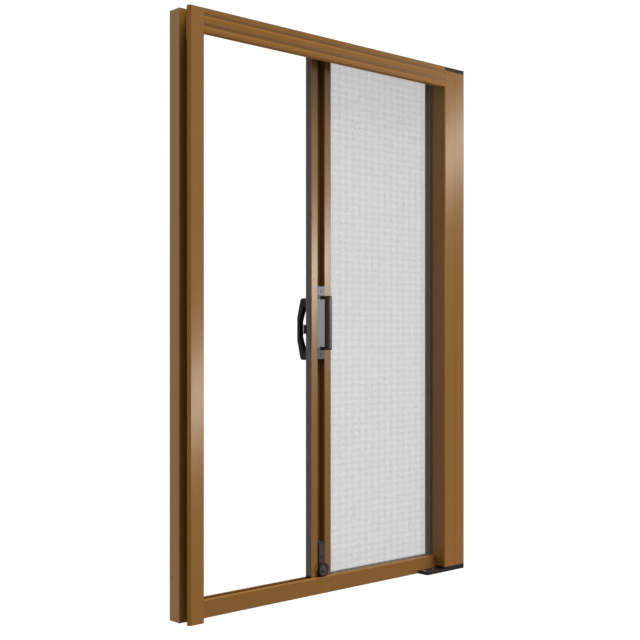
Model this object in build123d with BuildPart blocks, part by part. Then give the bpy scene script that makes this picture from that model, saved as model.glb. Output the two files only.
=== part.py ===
from build123d import *
import os

# Retractable screen door for a walk-through doorway, in millimetres, +Z up, front towards -Y.
# The origin is on the underside of the sill: X = 0 halfway across the front, Y = 0 in the plane
# of the screen cloth, Z = 0 on the floor. The pull bar stands half open.

os.makedirs("parts", exist_ok=True)

# Overall sizes
overall_height = 2100.0
front_width = 1400.0
screen_setback = 88.0

# Track section, used for the jamb channel, the header track and the sill track
track_depth = 57.5
track_height = 60.0
header_track_height = 52.0
track_front = -34.5
track_wall = 2.0
track_floor = 3.0
lip_depth = 23.8
back_lip_depth = 5.0
back_lip_height = 5.0

# Trim box on the front of the jamb, and the fluted header cover
trim_width = 52.8
trim_depth = 27.0
trim_wall = 1.8
trim_side_inset = 2.0
trim_lip_width = 13.9
trim_lip_angle = 41.5
jamb_overhang = 12.0
jamb_web_inset = 18.0
web_thickness = 3.0
cap_thickness = 2.0
cover_height = 82.0
cover_wall = 4.0
flute_tops = (18.0, 52.0)
flute_heights = (13.0, 16.0)
flute_depth = 1.2
end_plate_height = 111.0

# Housing for the wound screen
housing_width = 125.4
housing_depth = 114.0
housing_wall = 2.0
housing_corner = 7.0
top_cap_height = 16.0
bottom_cap_height = 20.0
cap_edge = 1.2
seam_from_right = 60.0
seam_gap = 1.0
seam_lip_reach = 9.0
seam_lip_thickness = 1.6
slot_front = -21.0
slot_back = 24.0
cope_reach = 4.2
cope_gap = 0.1
foot_length = 104.0
foot_height = 12.0
foot_corner = 12.0
foot_edge = 1.5
foot_screw_places = (10.5, 62.0)
foot_screw_setback = 26.0
foot_screw_radius = 5.5
foot_screw_height = 2.4

# Screen roller and cloth
roller_radius = 19.0
roller_wall = 1.5
wound_radius = 29.7
roller_pin_radius = 5.0
plug_length = 25.0
screen_thickness = 0.8
screen_columns = 12
screen_rows = 12
screen_strand = 12.0
screen_engagement = 30.0
soft_gap = 0.3

# Pull bar
bar_lead_from_left = 608.8
bar_width = 98.1
bar_front = -9.5
bar_depth = 30.5
bar_wall = 2.0
bar_corner = 1.5
groove_width = 36.4
running_gap = 5.0
seal_thickness = 3.0
seal_front_setback = 7.5
seal_back_setback = 0.5
retainer_base = 2.0
retainer_reach = 6.0
retainer_jaw = 3.3
guide_length = 75.0
guide_reach = 30.0

# Lock, handles and latch on the pull bar
handle_plate_foot = 34.0
handle_plate_head = 37.0
handle_plate_thickness = 2.5
handle_plate_corner = 3.0
fit_gap = 0.5
handle_bottom = 926.0
handle_height = 207.0
handle_width = 14.8
handle_reach = 55.0
grip_depth = 25.5
handle_arm = 12.7
handle_corner = 6.0
handle_edge = 1.5
handle_foot_width = 34.0
handle_foot_height = 13.4
handle_foot_thickness = 3.0
handle_foot_overhang = 3.0
plate_screw_inset = 17.0
plate_screw_radius = 4.5
plate_screw_height = 1.6
faceplate_thickness = 1.0
bow_bottom = 888.0
bow_height = 237.0
bow_reach = 55.0
bow_bar = 17.0
bow_width = 18.0
bow_foot = 34.0
bow_flat = 34.7
bow_rise = 76.0
bow_bend = 54.0
bow_inner_flat = 17.0
bow_corner = 14.0
bow_edge = 2.5
bow_lead_inset = 0.2
latch_bottom = 988.0
latch_height = 35.0
latch_seat = 3.5
latch_reach = 9.0
latch_thickness = 3.0
latch_corner = 1.4
strike_height = 160.0
strike_thickness = 2.0
strike_corner = 4.0
strike_slot_width = 12.0
strike_slot_height = 60.0

# Sill wheel and its carrier
wheel_radius = 26.0
wheel_width = 9.0
wheel_front_gap = 8.5
wheel_edge = 1.5
axle_radius = 4.0
axle_clearance = 0.05
axle_head_radius = 7.0
axle_head_height = 2.0
carrier_width = 25.0
carrier_bottom = 80.0
carrier_height = 111.0
carrier_stand = 2.5
carrier_corner = 3.0
carrier_screw_height = 135.0
carrier_screw_radius = 4.0
carrier_screw_stand = 1.6
boss_radius = 8.0

# Fixing holes through the tracks
fixing_radius = 2.5
jamb_hole_spacing = 1800.0
header_hole_spacing = 900.0

# Places that follow from the sizes
left = -front_width / 2
right = front_width / 2
front = -screen_setback
trim_back = front + trim_depth
trim_right = left + trim_width
trim_box_left = left + trim_side_inset
jamb_left = left - jamb_overhang
jamb_right = jamb_left + track_height
jamb_web_left = left + jamb_web_inset
jamb_web_right = jamb_web_left + web_thickness
housing_left = right - housing_width
housing_back = front + housing_depth
track_back = track_front + track_depth
channel_front = track_front + lip_depth
channel_back = track_back - back_lip_depth
channel_middle = (channel_front + channel_back) / 2
header_track_bottom = overall_height - header_track_height
bar_left = left + bar_lead_from_left
bar_right = bar_left + bar_width
bar_middle = (bar_left + bar_right) / 2
bar_back = bar_front + bar_depth
bar_bottom = track_height + running_gap
bar_top = header_track_bottom - running_gap
groove_floor = bar_back - bar_wall
seam = right - seam_from_right
roller_x = seam
roller_y = -(screen_thickness / 2 + soft_gap + wound_radius)
shaft_bottom = bottom_cap_height
shaft_top = overall_height - top_cap_height


def save(part, name):
    part.label = name
    export_step(part, f"parts/{name}.step")


def rounded_rectangle(low_x, high_x, low_y, high_y, radius):
    """Adds a rectangle with round corners, given by its sides, to the sketch being built."""
    with Locations(((low_x + high_x) / 2, (low_y + high_y) / 2)):
        RectangleRounded(high_x - low_x, high_y - low_y, radius)


def block(low_x, high_x, low_y, high_y, mode=Mode.ADD):
    """Adds or cuts a rectangle given by its sides."""
    with Locations(((low_x + high_x) / 2, (low_y + high_y) / 2)):
        Rectangle(high_x - low_x, high_y - low_y, mode=mode)


def track_section(plane, height):
    """Track section on a plane whose x runs from front to back and whose y runs from the
    fixed base to the open mouth: a hollow front lip, a floor and a thin back wall."""
    with BuildSketch(plane) as section:
        block(0, track_depth, 0, height)
        block(track_wall, lip_depth - track_wall, track_wall, height - track_wall,
              mode=Mode.SUBTRACT)
        block(lip_depth, track_depth - back_lip_depth, track_floor, height,
              mode=Mode.SUBTRACT)
        block(track_depth - back_lip_depth, track_depth - track_wall, track_floor,
              height - back_lip_height, mode=Mode.SUBTRACT)
    return section


def corner_lip():
    """Adds the bevelled lip beside the left front corner of the trim."""
    with Locations(Location((left, front, 0), (0, 0, 180 - trim_lip_angle))):
        Rectangle(trim_lip_width, trim_wall, align=(Align.MIN, Align.MAX))


# Jamb: front trim box, receiving channel with its web, and end pieces
# The lip and the left edge of the trim's front end below the header's end plate.
with BuildPart() as jamb_trim:
    with BuildSketch(Plane.XY):
        block(trim_box_left, trim_right, front, trim_back)
        block(trim_box_left + trim_wall, trim_right - trim_wall, front + trim_wall,
              trim_back - trim_wall, mode=Mode.SUBTRACT)
    extrude(amount=overall_height - cap_thickness)
    with BuildSketch(Plane.XY):
        block(left, trim_box_left, front, front + trim_wall)
        corner_lip()
    extrude(amount=overall_height - end_plate_height)
save(jamb_trim.part, "jamb_trim")

with BuildPart() as jamb_trim_cap:
    with BuildSketch(Plane.XY.offset(overall_height - cap_thickness)):
        block(trim_box_left, trim_right, front, trim_back)
    extrude(amount=cap_thickness)
save(jamb_trim_cap.part, "jamb_trim_cap")

jamb_plane = Plane(origin=(jamb_left, track_front, 0), x_dir=(0, 1, 0), z_dir=(0, 0, -1))
with BuildPart() as jamb_channel:
    extrude(track_section(jamb_plane, track_height).sketch, amount=-overall_height)
    with BuildSketch(Plane.XY):
        block(jamb_web_left, jamb_web_right, trim_back, track_front)
    extrude(amount=overall_height)
    with Locations(Plane(origin=(jamb_left, channel_middle, overall_height / 2),
                         x_dir=(0, 0, 1), z_dir=(-1, 0, 0))):
        with GridLocations(jamb_hole_spacing, 1, 2, 1):
            Hole(fixing_radius, depth=2 * track_floor)
save(jamb_channel.part, "jamb_channel")

with BuildPart() as header_end_plate:
    with BuildSketch(Plane.XY.offset(overall_height - end_plate_height)):
        block(left, trim_box_left, front, trim_back)
        corner_lip()
    extrude(amount=end_plate_height)
save(header_end_plate.part, "header_end_plate")

with BuildPart() as strike_plate:
    with BuildSketch(Plane(origin=(jamb_right, channel_middle, handle_bottom + handle_height / 2),
                           x_dir=(0, 1, 0), z_dir=(1, 0, 0))):
        RectangleRounded(track_back - channel_front + back_lip_depth, strike_height,
                         strike_corner)
        Rectangle(strike_slot_width, strike_slot_height, mode=Mode.SUBTRACT)
    extrude(amount=strike_thickness)
save(strike_plate.part, "strike_plate")

# Header: fluted cover, web and track
# The cover is coped over the round corner of the housing.
cover_bottom = overall_height - cover_height
with BuildPart() as header_cover:
    with BuildSketch(Plane.YZ.offset(trim_right)):
        block(front, trim_back, cover_bottom, overall_height)
        block(front + cover_wall, trim_back - trim_wall, cover_bottom + trim_wall,
              overall_height - trim_wall, mode=Mode.SUBTRACT)
        for top, height in zip(flute_tops, flute_heights):
            flute_radius = (height ** 2 / 4 + flute_depth ** 2) / (2 * flute_depth)
            middle = overall_height - top - height / 2
            with Locations((front - flute_radius + flute_depth, middle)):
                Circle(flute_radius, mode=Mode.SUBTRACT)
    extrude(amount=housing_left + cope_reach - trim_right)
    with BuildSketch(Plane.XY.offset(cover_bottom)):
        rounded_rectangle(housing_left, right, front - cope_gap, housing_back, housing_corner)
        block(housing_left, right, front + housing_corner, housing_back)
    extrude(amount=cover_height, mode=Mode.SUBTRACT)
save(header_cover.part, "header_cover")

with BuildPart() as header_web:
    with BuildSketch(Plane.YZ.offset(trim_right)):
        block(trim_back, track_front, overall_height - web_thickness, overall_height)
    extrude(amount=housing_left - trim_right)
save(header_web.part, "header_web")

header_plane = Plane(origin=(jamb_right, track_front, overall_height), x_dir=(0, 1, 0),
                     z_dir=(-1, 0, 0))
with BuildPart() as header_track:
    extrude(track_section(header_plane, header_track_height).sketch,
            amount=-(housing_left - jamb_right))
    with Locations(Plane(origin=(0, channel_middle, overall_height), z_dir=(0, 0, 1))):
        with GridLocations(header_hole_spacing, 1, 2, 1):
            Hole(fixing_radius, depth=2 * track_floor)
save(header_track.part, "header_track")

# Sill track
sill_plane = Plane(origin=(jamb_right, track_front, 0), x_dir=(0, 1, 0), z_dir=(1, 0, 0))
with BuildPart() as sill_track:
    extrude(track_section(sill_plane, track_height).sketch, amount=housing_left - jamb_right)
save(sill_track.part, "sill_track")

# Housing: body, snap-on cover, caps and foot
shell_height = overall_height - top_cap_height - bottom_cap_height
with BuildPart() as housing_body:
    with BuildSketch(Plane.XY.offset(bottom_cap_height)):
        rounded_rectangle(housing_left, right, front, housing_back, housing_corner)
        with Locations(((housing_left + right) / 2, (front + housing_back) / 2)):
            RectangleRounded(housing_width - 2 * housing_wall, housing_depth - 2 * housing_wall,
                             housing_corner - housing_wall, mode=Mode.SUBTRACT)
        block(housing_left, seam + seam_gap / 2, front, slot_back, mode=Mode.SUBTRACT)
        block(seam - seam_lip_reach, seam + seam_gap / 2 + housing_wall, front + housing_wall,
              front + housing_wall + seam_lip_thickness)
    extrude(amount=shell_height)
save(housing_body.part, "housing_body")

with BuildPart() as housing_cover:
    with BuildSketch(Plane.XY.offset(bottom_cap_height)):
        rounded_rectangle(housing_left, right, front, housing_back, housing_corner)
        with Locations(((housing_left + right) / 2, (front + housing_back) / 2)):
            RectangleRounded(housing_width - 2 * housing_wall, housing_depth - 2 * housing_wall,
                             housing_corner - housing_wall, mode=Mode.SUBTRACT)
        block(seam - seam_gap / 2, right, front, housing_back, mode=Mode.SUBTRACT)
        block(housing_left, seam, slot_front, housing_back, mode=Mode.SUBTRACT)
    extrude(amount=shell_height)
save(housing_cover.part, "housing_cover")

with BuildPart() as housing_top_cap:
    with BuildSketch(Plane.XY.offset(overall_height - top_cap_height)):
        rounded_rectangle(housing_left, right, front, housing_back, housing_corner)
    extrude(amount=top_cap_height)
    fillet(housing_top_cap.faces().sort_by(Axis.Z)[-1].edges(), cap_edge)
save(housing_top_cap.part, "housing_top_cap")

# The foot's tongue runs into the cap, past the round corner, and its front is the cap's front.
foot_left = housing_left - foot_length
with BuildPart() as housing_foot:
    with BuildSketch(Plane.XY):
        block(foot_left, housing_left + 2 * housing_corner, front, track_front - fit_gap)
        fillet(vertices().sort_by(Axis.X)[:2].sort_by(Axis.Y)[:1], foot_corner)
    extrude(amount=foot_height)
    fillet(housing_foot.faces().sort_by(Axis.Z)[-1].edges().sort_by(Axis.X)[:-1], foot_edge)
    with BuildSketch(Plane.XY):
        rounded_rectangle(housing_left, right, front, housing_back, housing_corner)
    extrude(amount=bottom_cap_height)
save(housing_foot.part, "housing_foot")

with BuildPart() as foot_screws:
    with BuildSketch(Plane.XY.offset(foot_height)):
        with Locations(*[(foot_left + place, front + foot_screw_setback)
                         for place in foot_screw_places]):
            Circle(foot_screw_radius)
    extrude(amount=foot_screw_height)
    fillet(foot_screws.faces().group_by(Axis.Z)[-1].edges(), foot_screw_height / 2)
save(foot_screws.part, "foot_screws")

# Screen roller inside the housing, with the screen that is wound on it
with BuildPart() as roller_tube:
    with BuildSketch(Plane.XY.offset(bottom_cap_height + roller_pin_radius)):
        with Locations((roller_x, roller_y)):
            Circle(roller_radius)
            Circle(roller_radius - roller_wall, mode=Mode.SUBTRACT)
    extrude(amount=shell_height - 2 * roller_pin_radius)
save(roller_tube.part, "roller_tube")

with BuildPart() as roller_plugs:
    for base, direction in ((shaft_bottom, 1), (shaft_top, -1)):
        with BuildSketch(Plane.XY.offset(base)):
            with Locations((roller_x, roller_y)):
                Circle(roller_pin_radius)
        extrude(amount=direction * roller_pin_radius)
        with BuildSketch(Plane.XY.offset(base + direction * roller_pin_radius)):
            with Locations((roller_x, roller_y)):
                Circle(roller_radius - roller_wall)
        extrude(amount=direction * plug_length)
save(roller_plugs.part, "roller_plugs")

screen_bottom = track_height - screen_engagement
screen_top = header_track_bottom + screen_engagement
with BuildPart() as wound_screen:
    with BuildSketch(Plane.XY.offset(screen_bottom)):
        with Locations((roller_x, roller_y)):
            Circle(wound_radius)
            Circle(roller_radius, mode=Mode.SUBTRACT)
    extrude(amount=screen_top - screen_bottom)
save(wound_screen.part, "wound_screen")

# A plain grid of openings stands for the mesh of the cloth.
cloth_left = bar_right + retainer_base + soft_gap
mesh_width = (roller_x - cloth_left - screen_strand) / screen_columns
mesh_height = (screen_top - screen_bottom - screen_strand) / screen_rows
with BuildPart() as screen_cloth:
    with BuildSketch(Plane.XZ.offset(-screen_thickness / 2)):
        block(cloth_left, roller_x, screen_bottom, screen_top)
        with Locations(((cloth_left + roller_x) / 2, (screen_bottom + screen_top) / 2)):
            with GridLocations(mesh_width, mesh_height, screen_columns, screen_rows):
                Rectangle(mesh_width - screen_strand, mesh_height - screen_strand,
                          mode=Mode.SUBTRACT)
    extrude(amount=screen_thickness)
save(screen_cloth.part, "screen_cloth")

# Pull bar and what it carries
bar_height = bar_top - bar_bottom
groove_left = bar_middle - groove_width / 2
groove_right = bar_middle + groove_width / 2
with BuildPart() as pull_bar:
    with BuildSketch(Plane.XY.offset(bar_bottom)):
        rounded_rectangle(bar_left, bar_right, bar_front, bar_back, bar_corner)
        block(groove_left, groove_right, bar_front, groove_floor, mode=Mode.SUBTRACT)
        block(bar_left + bar_wall, groove_left - bar_wall, bar_front + bar_wall,
              bar_back - bar_wall, mode=Mode.SUBTRACT)
        block(groove_right + bar_wall, bar_right - bar_wall, bar_front + bar_wall,
              bar_back - bar_wall, mode=Mode.SUBTRACT)
    extrude(amount=bar_height)
save(pull_bar.part, "pull_bar")

seal_front = bar_front + seal_front_setback
seal_back = bar_back - seal_back_setback
with BuildPart() as lead_seal:
    with BuildSketch(Plane.XY.offset(bar_bottom)):
        block(bar_left - seal_thickness, bar_left, seal_front, seal_back)
    extrude(amount=bar_height)
save(lead_seal.part, "lead_seal")

with BuildPart() as lock_faceplate:
    with BuildSketch(Plane.XY.offset(handle_bottom)):
        block(bar_left - faceplate_thickness, bar_left, bar_front + bar_corner,
              seal_front - fit_gap)
    extrude(amount=handle_height)
save(lock_faceplate.part, "lock_faceplate")

with BuildPart() as screen_retainer:
    with BuildSketch(Plane.XY.offset(bar_bottom)):
        jaw = screen_thickness / 2 + soft_gap
        block(bar_right, bar_right + retainer_reach, -jaw - retainer_jaw, jaw + retainer_jaw)
        block(bar_right + retainer_base, bar_right + retainer_reach, -jaw, jaw,
              mode=Mode.SUBTRACT)
    extrude(amount=bar_height)
save(screen_retainer.part, "screen_retainer")

guide_low = channel_front + running_gap
guide_high = channel_back - running_gap
for name, base, direction in (("bottom_guide", bar_bottom, -1), ("top_guide", bar_top, 1)):
    with BuildPart() as guide:
        with BuildSketch(Plane.XY.offset(base)):
            block(bar_middle - guide_length / 2, bar_middle + guide_length / 2, guide_low,
                  guide_high)
        extrude(amount=direction * guide_reach)
    save(guide.part, name)

# The lock case stands on the floor of the groove and carries the handle plate.
plate_back = bar_front + handle_plate_thickness
with BuildPart() as lock_case:
    with BuildSketch(Plane.XZ.offset(-groove_floor)):
        block(groove_left + fit_gap, groove_right - fit_gap, handle_bottom,
              handle_bottom + handle_height)
    extrude(amount=groove_floor - plate_back)
save(lock_case.part, "lock_case")

handle_plate_bottom = handle_bottom - handle_plate_foot
handle_plate_height = handle_height + handle_plate_foot + handle_plate_head
with BuildPart() as handle_plate:
    with BuildSketch(Plane.XZ.offset(-plate_back)):
        rounded_rectangle(groove_left + fit_gap, groove_right - fit_gap, handle_plate_bottom,
                          handle_plate_bottom + handle_plate_height, handle_plate_corner)
    extrude(amount=handle_plate_thickness)
save(handle_plate.part, "handle_plate")

with BuildPart() as plate_screws:
    with BuildSketch(Plane.XZ.offset(-bar_front)):
        with Locations((bar_middle, handle_plate_bottom + plate_screw_inset),
                       (bar_middle, handle_plate_bottom + handle_plate_height
                        - plate_screw_inset)):
            Circle(plate_screw_radius)
    extrude(amount=plate_screw_height)
save(plate_screws.part, "plate_screws")

handle_front = bar_front - handle_reach
with BuildPart() as pull_handle:
    with BuildSketch(Plane.YZ.offset(bar_middle - handle_width / 2)):
        block(handle_front, bar_front, handle_bottom, handle_bottom + handle_height)
        fillet(vertices().group_by(Axis.X)[0], handle_corner)
        block(handle_front + grip_depth, bar_front, handle_bottom + handle_arm,
              handle_bottom + handle_height - handle_arm, mode=Mode.SUBTRACT)
    extrude(amount=handle_width)
    fillet(pull_handle.faces().sort_by(Axis.Y)[0].edges().filter_by(Axis.Z), handle_edge)
    lower_foot = handle_bottom - handle_foot_overhang
    upper_foot = handle_bottom + handle_height + handle_foot_overhang - handle_foot_height
    with BuildSketch(Plane.XZ.offset(-bar_front)):
        for foot_base in (lower_foot, upper_foot):
            block(bar_middle - handle_foot_width / 2, bar_middle + handle_foot_width / 2,
                  foot_base, foot_base + handle_foot_height)
    extrude(amount=handle_foot_thickness)
save(pull_handle.part, "pull_handle")

bow_left = bar_left + bow_lead_inset
bow_top = bow_bottom + bow_height
bow_back = bar_back + bow_reach
with BuildPart() as bow_handle:
    with BuildSketch(Plane.YZ.offset(bow_left)):
        with BuildLine():
            Polyline((bar_back, bow_bottom), (bar_back + bow_flat, bow_bottom),
                     (bow_back, bow_bottom + bow_rise), (bow_back, bow_top - bow_rise),
                     (bar_back + bow_flat, bow_top), (bar_back, bow_top), close=True)
        make_face()
        fillet(vertices().filter_by(lambda corner: corner.X > bar_back + bow_flat / 2),
               bow_corner)
        with BuildLine():
            Polyline((bar_back, bow_bottom + bow_foot),
                     (bar_back + bow_inner_flat, bow_bottom + bow_foot),
                     (bow_back - bow_bar, bow_bottom + bow_foot + bow_bend),
                     (bow_back - bow_bar, bow_top - bow_foot - bow_bend),
                     (bar_back + bow_inner_flat, bow_top - bow_foot),
                     (bar_back, bow_top - bow_foot), close=True)
        make_face(mode=Mode.SUBTRACT)
    extrude(amount=bow_width)
    fillet(bow_handle.edges().group_by(Axis.X)[0].filter_by(
        lambda edge: edge.center().Y > bar_back + bow_edge), bow_edge)
save(bow_handle.part, "bow_handle")

latch_right = bar_left - seal_thickness
with BuildPart() as latch_knob:
    with BuildSketch(Plane.YZ.offset(latch_right)):
        rounded_rectangle(seal_back - latch_seat, bar_back + latch_reach, latch_bottom,
                          latch_bottom + latch_height, latch_corner)
    extrude(amount=-latch_thickness)
save(latch_knob.part, "latch_knob")

# Sill wheel, its axle and its carrier at the foot of the pull bar
wheel_front = track_front + wheel_front_gap
wheel_back = wheel_front + wheel_width
axle_height = track_height + soft_gap + wheel_radius
carrier_front = bar_front - carrier_stand
with BuildPart() as wheel_carrier:
    with BuildSketch(Plane.XZ.offset(-groove_floor)):
        rounded_rectangle(bar_middle - carrier_width / 2, bar_middle + carrier_width / 2,
                          carrier_bottom, carrier_bottom + carrier_height, carrier_corner)
    extrude(amount=groove_floor - carrier_front)
    with BuildSketch(Plane.XZ.offset(-carrier_front)):
        with Locations((bar_middle, axle_height)):
            Circle(boss_radius)
    extrude(amount=carrier_front - wheel_back - soft_gap)
save(wheel_carrier.part, "wheel_carrier")

with BuildPart() as wheel_axle:
    with BuildSketch(Plane.XZ.offset(-(wheel_back + soft_gap))):
        with Locations((bar_middle, axle_height)):
            Circle(axle_radius)
    extrude(amount=wheel_width + 2 * soft_gap)
    with BuildSketch(Plane.XZ.offset(-(wheel_front - soft_gap))):
        with Locations((bar_middle, axle_height)):
            Circle(axle_head_radius)
    extrude(amount=axle_head_height)
save(wheel_axle.part, "wheel_axle")

with BuildPart() as sill_wheel:
    with BuildSketch(Plane.XZ.offset(-wheel_back)):
        with Locations((bar_middle, axle_height)):
            Circle(wheel_radius)
            Circle(axle_radius + axle_clearance, mode=Mode.SUBTRACT)
    extrude(amount=wheel_width)
    fillet(sill_wheel.edges().filter_by(GeomType.CIRCLE)
           .filter_by(lambda edge: edge.radius > wheel_radius - wheel_edge), wheel_edge)
save(sill_wheel.part, "sill_wheel")

with BuildPart() as carrier_screw:
    with BuildSketch(Plane.XZ.offset(-carrier_front)):
        with Locations((bar_middle, carrier_screw_height)):
            Circle(carrier_screw_radius)
    extrude(amount=carrier_screw_stand)
save(carrier_screw.part, "carrier_screw")
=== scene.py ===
import math

import bpy
import numpy as np
from mathutils import Matrix, Vector


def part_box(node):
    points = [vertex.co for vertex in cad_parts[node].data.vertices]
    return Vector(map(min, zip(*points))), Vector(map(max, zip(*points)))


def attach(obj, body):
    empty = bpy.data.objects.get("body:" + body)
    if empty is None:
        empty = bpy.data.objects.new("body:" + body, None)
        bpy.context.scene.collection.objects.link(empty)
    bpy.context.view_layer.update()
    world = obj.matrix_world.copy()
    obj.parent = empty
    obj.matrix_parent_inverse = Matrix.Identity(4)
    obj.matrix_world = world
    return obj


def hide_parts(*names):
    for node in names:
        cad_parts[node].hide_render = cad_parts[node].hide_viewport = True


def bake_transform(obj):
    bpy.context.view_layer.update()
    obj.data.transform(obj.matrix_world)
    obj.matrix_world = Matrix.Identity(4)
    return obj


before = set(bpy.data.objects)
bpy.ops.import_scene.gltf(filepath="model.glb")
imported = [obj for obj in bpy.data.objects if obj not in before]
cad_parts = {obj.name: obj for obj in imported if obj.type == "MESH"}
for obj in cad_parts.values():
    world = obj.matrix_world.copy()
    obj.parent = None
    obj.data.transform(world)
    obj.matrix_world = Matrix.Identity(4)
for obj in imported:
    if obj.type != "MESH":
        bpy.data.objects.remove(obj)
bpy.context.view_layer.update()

MM = 0.001

# Places along X, in metres: where the painted shade and highlight in the header's flutes fade,
# and the housing's slot, past which the screen has painted shade
BAND_FADE = (0.3, 0.56)
HOUSING_SLOT = (0.53, 0.545)


class Wire:
    """An output socket of a material or of the world. Arithmetic on it adds Math nodes to the
    same tree."""

    def __init__(self, tree, socket=None):
        self.tree, self.socket = tree, socket

    def node(self, kind, settings, inputs, output=0):
        """Adds a node: its settings first, then the value or link of each socket by name or
        place. Gives back one of its outputs."""
        made = self.tree.nodes.new(kind)
        for name, value in settings.items():
            setattr(made, name, value)
        for name, value in inputs.items():
            if isinstance(value, Wire):
                self.tree.links.new(value.socket, made.inputs[name])
            else:
                made.inputs[name].default_value = value
        return Wire(self.tree, made.outputs[output])

    def part(self, axis):
        """One of the three parts of a place or a direction."""
        return self.node("ShaderNodeSeparateXYZ", {}, {0: self}, axis)

    def math(self, operation, other=0.0, first=None):
        """A Math node on this value, or on first where it is given, and another value."""
        first = self if first is None else first
        return self.node("ShaderNodeMath", {"operation": operation}, {0: first, 1: other})

    def __add__(self, other):
        return self.math("ADD", other)

    def __radd__(self, other):
        return self.math("ADD", self, other)

    def __sub__(self, other):
        return self.math("SUBTRACT", other)

    def __rsub__(self, other):
        return self.math("SUBTRACT", self, other)

    def __mul__(self, other):
        return self.math("MULTIPLY", other)

    def __rmul__(self, other):
        return self.math("MULTIPLY", self, other)

    def noise(self, place, scale, detail=2.0, stretch=(1, 1, 1)):
        """Noise from 0 to 1 on a place, drawn out along the axes whose stretch is small."""
        moved = self.node("ShaderNodeMapping", {}, {"Vector": place, "Scale": stretch})
        return self.node("ShaderNodeTexNoise", {}, {"Vector": moved, "Scale": scale,
                                                    "Detail": detail}, "Fac")

    def smooth(self, low, high):
        """0 where the value is under low, 1 where it is over high, and smooth between."""
        return self.node("ShaderNodeMapRange", {"interpolation_type": "SMOOTHSTEP"},
                         {"Value": self, "From Min": low, "From Max": high})

    def blend(self, factor, first, second):
        """A colour between two colours."""
        return self.node("ShaderNodeMix", {"data_type": "RGBA"},
                         {0: factor, 6: first, 7: second}, 2)


def finish(name, roughness, metallic=0.0, specular=0.5):
    """A material with a Principled shader. Gives the material, its shader and a Wire."""
    material = bpy.data.materials.new(name)
    material.use_nodes = True
    tree = material.node_tree
    shader = tree.nodes["Principled BSDF"]
    shader.inputs["Roughness"].default_value = roughness
    shader.inputs["Metallic"].default_value = metallic
    shader.inputs["Specular IOR Level"].default_value = specular
    return material, shader, Wire(tree)


def feed(shader, **wires):
    """Links wires to the shader's sockets, whose names have a space for each underscore."""
    for name, wire in wires.items():
        wire.tree.links.new(wire.socket, shader.inputs[name.replace("_", " ")])


def rgb(red, green, blue):
    """A colour in linear light from its screen values of 0 to 255."""
    return tuple(((v / 255 + 0.055) / 1.055) ** 2.4 if v > 10 else v / 255 / 12.92
                 for v in (red, green, blue)) + (1.0,)


def tinted(colour, factor):
    """The colour, lighter or darker by a factor."""
    return tuple(min(1.0, part * factor) for part in colour[:3]) + (1.0,)


def coat(name, colour, along, roughness=0.15, specular=0.5, painted_bands=()):
    """Satin bronze coating on an extruded profile. Faint draw lines run along the profile,
    a fine grain covers it, and broad clouds change its colour by a few percent. Each band
    given is a range of heights with its own tone, darker for painted shade or paler for a
    painted highlight; it fades towards the housing."""
    material, shader, wire = finish(name, roughness, specular=specular)
    place = wire.node("ShaderNodeTexCoord", {}, {}, "Object")
    drawn = tuple(0.02 if axis == along else 1.0 for axis in "XYZ")
    lines = wire.noise(place, 420, 2, drawn)
    grain = wire.noise(place, 2600, 1)
    clouds = wire.noise(place, 2.4, 3)
    dust = wire.noise(place, 46, 4).smooth(0.56, 0.8)
    body = wire.blend((lines + clouds) * 0.5, tinted(colour, 0.9), tinted(colour, 1.1))
    body = wire.blend(grain.smooth(0.55, 0.75) * 0.35, body, tinted(colour, 1.25))
    body = wire.blend(dust * 0.06, body, rgb(165, 140, 110))
    # Painted shade and painted highlight, each in a band of heights
    if painted_bands:
        height = place.part("Z")
        fading = 1 - 0.8 * place.part("X").smooth(*BAND_FADE)
        for low, high, tone in painted_bands:
            inside = (height.smooth(low - MM, low + MM)
                      * (1 - height.smooth(high - MM, high + MM)))
            body = wire.blend(inside * fading, body, tinted(colour, tone))
    bump = wire.node("ShaderNodeBump", {}, {"Strength": 0.05, "Distance": 0.1 * MM,
                                            "Height": lines * 0.6 + grain * 0.4}, "Normal")
    feed(shader, Base_Color=body, Roughness=roughness + 0.05 * grain + 0.04 * dust,
         Normal=bump)
    return material


def moulded(name, colour, roughness=0.42, grain_size=1400, specular=0.5):
    """Moulded plastic with a fine spark-eroded grain and faint flow clouds."""
    material, shader, wire = finish(name, roughness, specular=specular)
    place = wire.node("ShaderNodeTexCoord", {}, {}, "Object")
    grain = wire.noise(place, grain_size, 2)
    flow = wire.noise(place, 14, 3)
    rub = wire.noise(place, 60, 5).smooth(0.6, 0.85)
    body = wire.blend(flow * 0.6 + rub * 0.3, tinted(colour, 0.85), tinted(colour, 1.35))
    bump = wire.node("ShaderNodeBump", {}, {"Strength": 0.25, "Distance": 0.08 * MM,
                                            "Height": grain}, "Normal")
    feed(shader, Base_Color=body, Roughness=roughness + 0.12 * grain - 0.08 * rub, Normal=bump)
    return material


def brushed(name, colour, along, roughness=0.32, metallic=1.0, painted_shade_below=None):
    """Metal brushed in one direction. Where a height is given, the metal under it is darker:
    painted shade."""
    material, shader, wire = finish(name, roughness, metallic)
    place = wire.node("ShaderNodeTexCoord", {}, {}, "Object")
    drawn = tuple(0.02 if axis == along else 1.0 for axis in "XYZ")
    hairs = wire.noise(place, 900, 3, drawn)
    clouds = wire.noise(place, 30, 3)
    body = wire.blend(hairs * 0.7 + clouds * 0.3, tinted(colour, 0.82), tinted(colour, 1.16))
    if painted_shade_below:
        # Painted shade under the given height
        over = place.part("Z").smooth(painted_shade_below - 8 * MM, painted_shade_below + 8 * MM)
        body = wire.blend(over, tinted(colour, 0.4), body)
    bump = wire.node("ShaderNodeBump", {}, {"Strength": 0.12, "Distance": 0.05 * MM,
                                            "Height": hairs}, "Normal")
    feed(shader, Base_Color=body, Roughness=roughness + 0.14 * hairs, Normal=bump)
    return material


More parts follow.
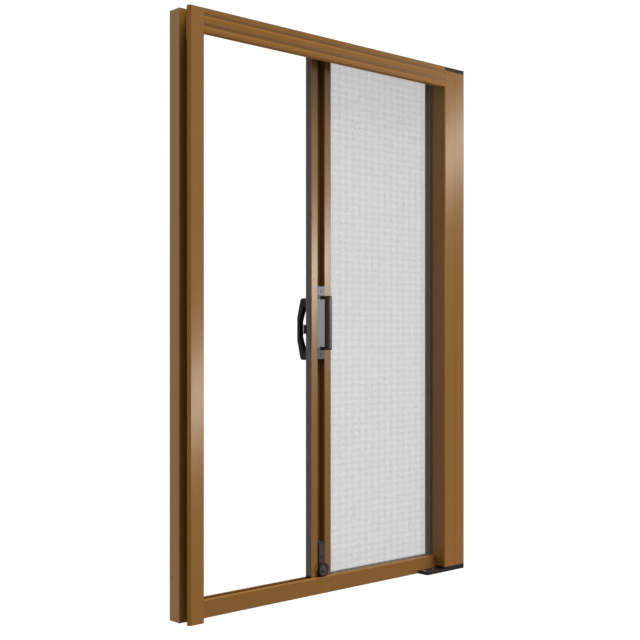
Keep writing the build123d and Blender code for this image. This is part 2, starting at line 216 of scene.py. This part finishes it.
def mesh_from(name, points, faces, smooth=True):
    """A mesh object from its points, in metres, and its faces."""
    mesh = bpy.data.meshes.new(name)
    mesh.from_pydata(np.asarray(points, float).reshape(-1, 3).tolist(), [],
                     faces.tolist() if isinstance(faces, np.ndarray) else faces)
    mesh.polygons.foreach_set("use_smooth", [smooth] * len(mesh.polygons))
    mesh.validate()
    mesh.update()
    made = bpy.data.objects.new(name, mesh)
    bpy.context.scene.collection.objects.link(made)
    return made


def corners(node):
    """The lowest and the highest corner of a CAD node's box, in metres."""
    low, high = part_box(node)
    return np.array(low), np.array(high)


def grid_faces(rows, columns):
    """Quads between the rows of a grid of points; the columns close into a ring."""
    i, j = np.meshgrid(np.arange(rows - 1), np.arange(columns), indexing="ij")
    k = (j + 1) % columns
    return np.stack([i * columns + j, i * columns + k, (i + 1) * columns + k,
                     (i + 1) * columns + j], -1).reshape(-1, 4)


def tube(name, rings, smooth=True):
    """A closed skin over rings of points, an array of rows by columns by 3, with a fan of
    faces from the middle of each end ring. Its faces are turned outwards at the end."""
    rows, columns = rings.shape[:2]
    points = np.concatenate([rings.reshape(-1, 3), rings[:1].mean(1), rings[-1:].mean(1)])
    faces = grid_faces(rows, columns).tolist()
    low, high, last = rows * columns, rows * columns + 1, (rows - 1) * columns
    for j in range(columns):
        k = (j + 1) % columns
        faces += [[low, k, j], [high, last + j, last + k]]
    made = mesh_from(name, points, faces, smooth)
    outward(made)
    return made


def outward(piece):
    """Turns a closed mesh's faces outwards where its signed volume is negative."""
    mesh = piece.data
    mesh.calc_loop_triangles()
    points = np.empty(len(mesh.vertices) * 3)
    mesh.vertices.foreach_get("co", points)
    triangles = np.empty(len(mesh.loop_triangles) * 3, int)
    mesh.loop_triangles.foreach_get("vertices", triangles)
    a, b, c = points.reshape(-1, 3)[triangles.reshape(-1, 3)].transpose(1, 0, 2)
    if (a * np.cross(b, c)).sum() < 0:
        mesh.flip_normals()


def boxes(name, centres, halves):
    """Straight bars: each is a box about its centre, with half sizes along X, Y and Z."""
    corner = np.array([[x, y, z] for z in (-1, 1) for y in (-1, 1) for x in (-1, 1)])
    points = centres[:, None] + halves[:, None] * corner
    quads = np.array([[0, 2, 3, 1], [4, 5, 7, 6], [0, 1, 5, 4], [2, 6, 7, 3], [0, 4, 6, 2],
                      [1, 3, 7, 5]])
    faces = (np.arange(len(centres))[:, None, None] * 8 + quads).reshape(-1, 4)
    return mesh_from(name, points, faces, smooth=False)


def turned(profile, steps, origin):
    """Rings of a shape turned about the line along Y through the origin: the point (r, y) of
    the profile goes to (r cos a, y, r sin a) for each angle a."""
    angle = np.linspace(0, 2 * np.pi, steps, endpoint=False)
    radius, place = np.array(profile, float).T
    across = radius[:, None] * np.cos(angle)
    upward = radius[:, None] * np.sin(angle)
    along = np.repeat(place[:, None], steps, 1)
    return np.stack([across, along, upward], -1) + np.array(origin)


def dress(piece, material, body, slot_name, *nodes):
    """Gives a piece its material and its CAD body, and hides the CAD nodes it stands for.
    slot_name is not used.
    """
    piece.data.materials.append(material)
    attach(piece, body)
    if nodes:
        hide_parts(*nodes)


# Materials
BROWN = rgb(121, 83, 35)
# The frame's bronze is one colour; its copies below are set lighter or darker part by part to
# stand in for how light falls on each part: painted light and shade.
bronze_upright = coat("bronze_upright", tinted(BROWN, 0.98), "Z")
bronze_bar = coat("bronze_bar", rgb(109, 76, 35), "Z", 0.165, 0.7)
bronze_level = coat("bronze_level", tinted(BROWN, 0.85), "X", 0.3, 0.35)

# The header's two flutes, each by its depth under the header's top and its height. Painted
# shade darkens the upper part of each flute, and a painted highlight makes the edge under it
# paler.
header_top = corners("header_cover")[1][2]
flute_painted_bands = []
for depth, tall in ((18 * MM, 13 * MM), (52 * MM, 16 * MM)):
    upper, lower = header_top - depth, header_top - depth - tall
    flute_painted_bands += [(upper - 0.65 * tall, upper + 1.5 * MM, 0.76),
                    (lower - 3 * MM, lower + 2 * MM, 1.25)]
bronze_fluted = coat("bronze_fluted", tinted(BROWN, 0.92), "X", 0.3, 0.25, flute_painted_bands)

# The housing's copy of the bronze is toned for the light on the housing: painted light and
# shade.
bronze_housing = coat("bronze_housing", rgb(121, 84, 41), "Z", specular=0.25)
brown_plastic = moulded("brown_plastic", tinted(BROWN, 0.45), 0.5)
black_plastic = moulded("black_plastic", rgb(26, 26, 26), specular=0.3)
handle_black = moulded("handle_black", rgb(15, 14, 14), 0.35, specular=0.2)
carrier_plastic = moulded("carrier_plastic", rgb(44, 39, 37))
black_pile = moulded("black_pile", rgb(24, 23, 22), 0.9, 3000, 0.1)
tyre_rubber = moulded("tyre_rubber", rgb(27, 24, 23), 0.6, 1800, 0.2)
wheel_plastic = moulded("wheel_plastic", rgb(56, 54, 60), 0.4, 1400, 0.3)
pile_brown = moulded("pile_brown", rgb(92, 62, 34), 0.9, 3000, 0.1)
rolled_screen = moulded("rolled_screen", rgb(34, 32, 30), 0.7, 1500, 0.1)
seal_rubber = moulded("seal_rubber", rgb(77, 77, 78), 0.55, 900)
# The handle plate and its screws are darker at the plate's lower end, below the handle: painted
# shade
grey_plate = brushed("grey_plate", rgb(109, 111, 118), "Z", 0.3, 0.2, painted_shade_below=0.93)
black_metal = moulded("black_metal", rgb(20, 18, 17), 0.22, 2200, 0.62)
bright_steel = brushed("bright_steel", rgb(205, 205, 205), "X", 0.25)
mill_aluminium = brushed("mill_aluminium", rgb(200, 202, 205), "Z", 0.4)

finishes = {
    "jamb_trim": bronze_upright, "jamb_trim_cap": bronze_level,
    "jamb_channel": bronze_upright, "header_end_plate": bronze_upright,
    "strike_plate": bright_steel, "header_cover": bronze_fluted, "header_web": bronze_level,
    "header_track": bronze_level, "sill_track": bronze_level, "housing_body": bronze_housing,
    "housing_cover": bronze_housing, "housing_top_cap": black_plastic,
    "housing_foot": black_plastic, "foot_screws": bright_steel,
    "roller_tube": mill_aluminium, "roller_plugs": black_plastic,
    "wound_screen": rolled_screen, "pull_bar": bronze_bar, "lead_seal": seal_rubber,
    "lock_faceplate": black_metal, "screen_retainer": bronze_bar,
    "bottom_guide": black_plastic, "top_guide": black_plastic,
    "lock_case": black_metal, "handle_plate": grey_plate,
    "plate_screws": grey_plate, "pull_handle": black_metal, "bow_handle": handle_black,
    "latch_knob": handle_black, "wheel_carrier": carrier_plastic,
    "wheel_axle": wheel_plastic, "carrier_screw": black_metal, "screen_cloth": seal_rubber,
    "sill_wheel": tyre_rubber,
}
for node, material in finishes.items():
    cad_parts[node].data.materials.clear()
    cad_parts[node].data.materials.append(material)
# The photograph shows no shadow and no reflection of the front handle
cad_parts["pull_handle"].visible_glossy = False
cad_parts["pull_handle"].visible_shadow = False


# Woven screen between the pull bar and the roller
def woven_screen():
    """Upright and level threads of a woven screen: bars of square section, one pitch apart,
    the level ones half a thread behind the upright ones."""
    low, high = corners("screen_cloth")
    pitch, half = 1.5 * MM, 0.14 * MM
    across = np.arange(low[0] + pitch, high[0], pitch)
    upward = np.arange(low[2] + pitch, high[2], pitch)
    middle = (low + high) / 2
    reach = (high - low) / 2
    upright = np.stack([across, np.full_like(across, -half),
                        np.full_like(across, middle[2])], 1)
    level = np.stack([np.full_like(upward, middle[0]), np.full_like(upward, half),
                      upward], 1)
    centres = np.concatenate([upright, level])
    halves = np.concatenate([np.tile([half, half, reach[2]], (len(across), 1)),
                             np.tile([reach[0], half, half], (len(upward), 1))])
    piece = boxes("woven_screen", centres, halves)
    material, shader, wire = finish("screen_thread", 0.6, specular=0.3)
    place = wire.node("ShaderNodeTexCoord", {}, {}, "Object")
    # A faint check of rows and columns, and painted shade: a darker tone inside the housing
    row_period, column_period = 25.5 * MM, 35.8 * MM
    rows = (place.part("Z") * (2 * math.pi / row_period)).math("SINE")
    columns = (place.part("X") * (2 * math.pi / column_period)).math("SINE")
    coated = wire.noise(place, 900, 1)
    inside = place.part("X").smooth(*HOUSING_SLOT)
    tone = rows * 0.17 * (1 - inside) + columns * 0.17 + coated * 0.06 + 0.47 - 0.14 * inside
    feed(shader, Base_Color=wire.blend(tone, rgb(96, 96, 97), rgb(168, 168, 169)))
    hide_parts("screen_cloth")
    piece.data.materials.append(material)
    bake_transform(piece)


woven_screen()


# Small pieces on the bar, the wheel and the tracks
def screw_head(name, seat, normal, radius, height, material, body, slot_name, node):
    """Pan head with a cross recess, on its seat. At the place x, y, a distance r from the
    middle, its height is h (1 - (r / R)^6)^0.5, less 0.6 h where the smaller of |x| and |y| is
    under 0.16 R and the larger is under 0.6 R, with walls that slope over 0.05 R."""
    angle = np.linspace(0, 2 * np.pi, 72, endpoint=False)
    reach = np.linspace(0.005, 1, 34) ** 0.8
    x, y = reach[:, None] * np.cos(angle), reach[:, None] * np.sin(angle)
    small, large = np.minimum(abs(x), abs(y)), np.maximum(abs(x), abs(y))
    slot_depth = np.clip((0.16 - small) / 0.05, 0, 1) * np.clip((0.6 - large) / 0.05, 0, 1)
    dome = np.sqrt(np.clip(1 - reach ** 6, 0, 1))[:, None]
    rise = np.clip(dome - 0.6 * slot_depth, 0, 1) * height
    rings = np.stack([x * radius, y * radius, rise], -1)
    turn = np.array(Vector(normal).to_track_quat("Z", "Y").to_matrix())
    dress(tube(name, rings @ turn.T + np.array(seat)), material, body, slot_name, node)


def pair_of_heads(node, normal, axis, material, body, slot_name):
    """Two screw heads at the ends of their node's box, which is long along an axis."""
    low, high = corners(node)
    away = int(np.argmax(np.abs(normal)))
    height = high[away] - low[away]
    radius = min(high[k] - low[k] for k in range(3) if k not in (away, axis)) / 2
    for place, name in ((low[axis] + radius, "low"), (high[axis] - radius, "high")):
        seat = (low + high) / 2
        seat[axis] = place
        seat[away] = low[away] if normal[away] > 0 else high[away]
        screw_head(f"{node}_{name}", seat, normal, radius, height, material, body, slot_name,
                   node)


pair_of_heads("plate_screws", (0, -1, 0), 2, grey_plate, "sliding_bar", "steel")
pair_of_heads("foot_screws", (0, 0, 1), 0, bright_steel, "frame", "steel")


def wheel_pieces():
    """Rubber tyre with two shallow grooves, and a face of plastic with a rim, a dished web
    and a hub. Both are turned about the wheel's axle, from profiles of (r, y) in
    millimetres."""
    low, high = corners("sill_wheel")
    middle = ((low + high) / 2).tolist()
    radius, half = (high[0] - low[0]) / 2 / MM, (high[1] - low[1]) / 2 / MM
    tread = []
    for place in np.linspace(-half + 1.5, half - 1.5, 41):
        groove = sum(math.exp(-((place - at) / 0.35) ** 2) for at in (-1.5, 1.5))
        tread.append((radius - 0.6 * groove, place))
    seat = radius - 5.5
    tyre = [(seat, -half + 0.6), (seat + 0.5, -half + 0.2), (radius - 1.6, -half),
            (radius - 0.7, -half + 0.4), (radius - 0.15, -half + 1.0)] + tread + [
            (radius - 0.15, half - 1.0), (radius - 0.7, half - 0.4), (radius - 1.6, half),
            (seat, half)]
    face = [(4.05, -half + 0.6), (8.0, -half + 0.3), (8.6, -half + 0.8), (9.2, -half + 1.8),
            (seat - 4.2, -half + 1.8), (seat - 3.6, -half + 0.8), (seat - 2.8, -half + 0.3),
            (seat, -half + 0.6), (seat, half), (4.05, half)]
    steps = 96
    for name, profile, material in (("wheel_tyre", tyre, tyre_rubber),
                                    ("wheel_face", face, wheel_plastic)):
        rings = turned(np.array(profile) * MM, steps, middle)
        near = np.arange(steps)
        far = (near + 1) % steps
        last = (len(rings) - 1) * steps
        closing = np.stack([last + near, last + far, far, near], 1)
        piece = mesh_from(name, rings,
                          np.concatenate([grid_faces(len(rings), steps), closing]))
        outward(piece)
        dress(piece, material, "wheel", "black_plastic", "sill_wheel")


wheel_pieces()


def ribbed_seal():
    """Rubber seal along the bar's leading edge, with round ribs on its free face: at the
    share s of the seal's width the face lies d (1 - |sin(pi n s)|) inside its box, for n ribs
    of depth d."""
    low, high = corners("lead_seal")
    ribs, rib_depth = 5, 0.9 * MM
    outline = [(low[0] + rib_depth * (1 - abs(math.sin(ribs * math.pi * share))),
                low[1] + (high[1] - low[1]) * share) for share in np.linspace(0, 1, 81)]
    outline += [(high[0], high[1]), (high[0], low[1])]
    rings = np.array([[(x, y, z) for x, y in outline] for z in (low[2], high[2])])
    dress(tube("ribbed_seal", rings, smooth=False), seal_rubber, "sliding_bar", "seal",
          "lead_seal")


ribbed_seal()


def strips(name, spans, material, body, slot_name):
    """Straight strips, each given by its lowest and its highest corner."""
    spans = np.array(spans)
    piece = boxes(name, spans.mean(1), (spans[:, 1] - spans[:, 0]) / 2)
    dress(piece, material, body, slot_name)


def sweeps_and_piles():
    """Plastic sweeps and rubber ends that close the gaps under and over the pull bar, and
    pile strips along the back walls of the sill and the header."""
    bar_low, bar_high = corners("pull_bar")
    seal_low, seal_high = corners("lead_seal")
    sill_low, sill_high = corners("sill_track")
    head_low, head_high = corners("header_track")
    clear = 0.3 * MM
    levels = ((sill_high[2] + clear, bar_low[2]), (bar_high[2], head_low[2] - clear))
    sides = ((bar_low[1] + clear, bar_low[1] + 3 * MM),
             (bar_high[1] - 6.5 * MM, bar_high[1] - clear))
    strips("bar_sweeps", [((bar_low[0] + 0.5 * MM, near, low),
                           (bar_high[0] - 0.5 * MM, far, high))
                          for low, high in levels for near, far in sides],
           brown_plastic, "sliding_bar", "black_plastic")
    strips("seal_ends", [((seal_low[0] + 0.2 * MM, seal_low[1], low),
                          (seal_high[0], seal_high[1], high)) for low, high in levels],
           black_pile, "sliding_bar", "seal")
    wall = sill_high[1] - 5 * MM
    pile = wall - 2.5 * MM
    strips("track_piles", [((sill_low[0], pile, sill_high[2] - 6 * MM),
                            (sill_high[0], wall, sill_high[2] - 0.5 * MM)),
                           ((head_low[0], pile, head_low[2] + 0.5 * MM),
                            (head_high[0], wall, head_low[2] + 6 * MM))],
           pile_brown, "frame", "seal")


sweeps_and_piles()

# Floor, light and camera
floor = boxes("floor", np.array([[0, 0, -0.01]]), np.array([[60.0, 60.0, 0.01]]))
floor_material, floor_shader, _ = finish("pale_floor", 0.9, specular=0.1)
floor_shader.inputs["Base Color"].default_value = (0.02, 0.02, 0.02, 1)
floor_shader.inputs["Emission Color"].default_value = (1, 1, 1, 1)
floor_shader.inputs["Emission Strength"].default_value = 0.99
floor.data.materials.append(floor_material)
floor.visible_diffuse = False
floor.visible_glossy = False
floor.visible_shadow = False

scene = bpy.context.scene
scene.view_settings.view_transform = "Standard"
world = bpy.data.worlds.new("studio")
scene.world = world
world.use_nodes = True
sky = Wire(world.node_tree)
background = world.node_tree.nodes["Background"]
camera_ray = sky.node("ShaderNodeLightPath", {}, {}, "Is Camera Ray")
glossy_ray = sky.node("ShaderNodeLightPath", {}, {}, "Is Glossy Ray")
direction = sky.node("ShaderNodeTexCoord", {}, {}, "Generated")
x, y, z = (direction.part(axis) for axis in "XYZ")
left = 1 - x.smooth(-0.6, 0.0)
back = y.smooth(-0.2, 0.3)
# The dome that lights the surfaces is brighter above, on the left and at the back
dome = (0.3 + 0.5 * z.smooth(-0.12, 0.12)) * (1 - 0.6 * x.smooth(0.3, 0.8))
dome = dome * (0.45 + 0.55 * back + left * (0.1 + 0.5 * back))
# What they reflect is brighter above and on the right, bright at the back left, and dark at
# the back right
back_right = x.smooth(0.1, 0.4) * y.smooth(0.1, 0.5)
reflected = (0.25 + 0.25 * z.smooth(0.0, 0.22)) * (0.05 + 0.95 * x.smooth(-0.3, 0.2))
reflected = reflected * (1 - 0.85 * back_right) + 0.65 * left * back
strength = dome * (1 - glossy_ray) + glossy_ray * reflected
# The camera sees plain white
strength = strength * (1 - camera_ray) + camera_ray * 1.04
feed(background, Strength=strength)
background.inputs["Color"].default_value = (1, 1, 1, 1)


def area_light(name, place, toward, along, length, width, power):
    """A rectangular light at a place, facing a point, with its long side along a direction."""
    data = bpy.data.lights.new(name, "AREA")
    data.shape, data.size, data.size_y, data.energy = "RECTANGLE", length, width, power
    lamp = bpy.data.objects.new(name, data)
    scene.collection.objects.link(lamp)
    back = (Vector(place) - Vector(toward)).normalized()
    side = (Vector(along) - Vector(along).dot(back) * back).normalized()
    turn = Matrix((side, back.cross(side), back)).transposed().to_4x4()
    lamp.matrix_world = Matrix.Translation(place) @ turn
    return lamp


def sun_light(name, toward, energy, angle):
    """A light from far away, from the direction that it lies in. It isn't reflected."""
    data = bpy.data.lights.new(name, "SUN")
    data.energy, data.angle = energy, math.radians(angle)
    lamp = bpy.data.objects.new(name, data)
    lamp.matrix_world = Vector(toward).to_track_quat("Z", "Y").to_matrix().to_4x4()
    lamp.visible_glossy = False
    scene.collection.objects.link(lamp)


strip_light = area_light("strip_light", (3.95, -4.54, 1.57), (-0.044, -0.01, 1.212),
                         (0.68, 0.27, 0.68), 5.2, 0.38, 80)
strip_light.data.color = (1.0, 0.91, 0.79)
sun_light("overhead_light", (0.12, -0.36, 1.0), 5.5, 24)
sun_light("front_light", (0.1, -0.9, 1.0), 1.1, 60)
sun_light("floor_light", (0.0, -0.1, -1.0), 2.5, 20)
sun_light("side_light", (-0.57, 0.82, 0.3), 1.65, 30)

camera_data = bpy.data.cameras.new("camera")
camera = bpy.data.objects.new("camera", camera_data)
scene.collection.objects.link(camera)
camera.location = (-2.823, -3.130, 0.980)
camera.rotation_euler = (math.radians(90), 0, math.radians(-41.65))
camera_data.sensor_width = 36.0
camera_data.lens = 61.34
camera_data.shift_y = 0.025
camera_data.clip_end = 200.0
scene.camera = camera
